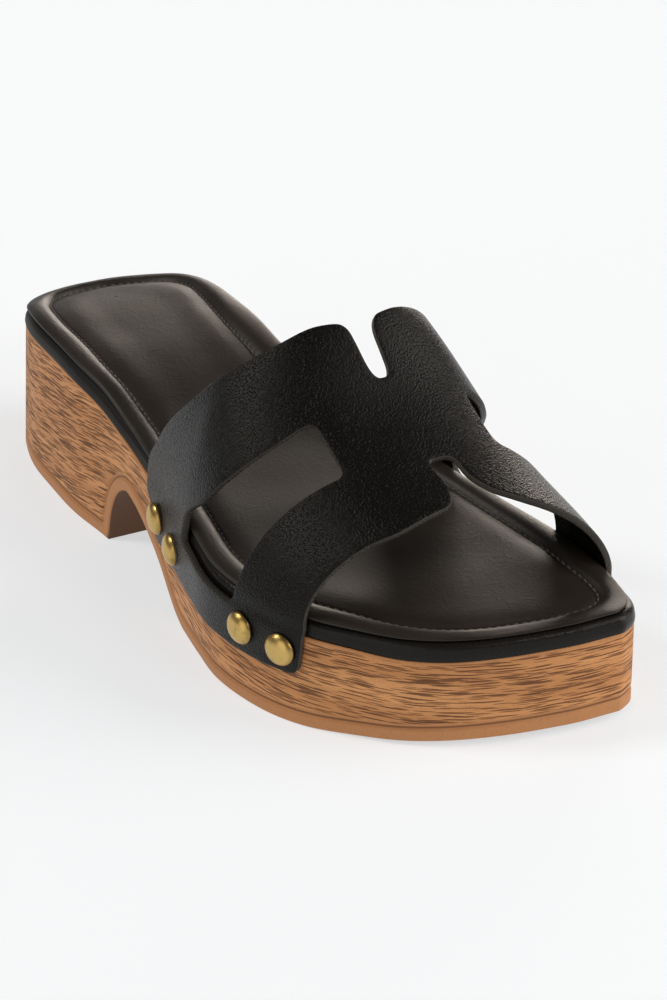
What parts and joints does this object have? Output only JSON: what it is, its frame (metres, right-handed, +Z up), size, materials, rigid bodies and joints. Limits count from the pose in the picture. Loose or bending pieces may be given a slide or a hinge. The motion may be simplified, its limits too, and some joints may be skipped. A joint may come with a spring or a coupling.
{
  "type": "clog slide",
  "caption": "Right clog slide: wood-look platform with block heel, padded footbed and an H-shaped leather upper studded on, open at toe and heel.",
  "frame": {"origin": "centre of the shoe's box, on the floor it stands on", "axes": "toe towards -Y, heel towards +Y, inner (medial) side of the foot towards +X, +Z up"},
  "size_m": [0.1032, 0.2502, 0.0924],
  "materials": {
    "wood_look": "moulded unit printed like oiled wood, tan with dark grain streaks, satin",
    "wrap_leather": "smooth black leather wrap, semi-gloss",
    "footbed_leather": "black padded leather with fine creases, satin",
    "vamp_leather": "black leather with a fine pebble grain and painted edges, satin",
    "antique_brass": "antique brass, satin"
  },
  "bodies": {
    "root": {"footbed": "footbed_leather", "insole_board": "wrap_leather", "platform": "wood_look", "stud_lateral_1": "antique_brass", "stud_lateral_2": "antique_brass", "stud_lateral_3": "antique_brass", "stud_lateral_4": "antique_brass", "stud_medial_1": "antique_brass", "stud_medial_2": "antique_brass", "stud_medial_3": "antique_brass", "stud_medial_4": "antique_brass", "upper": "vamp_leather"}
  },
  "joints": []
}
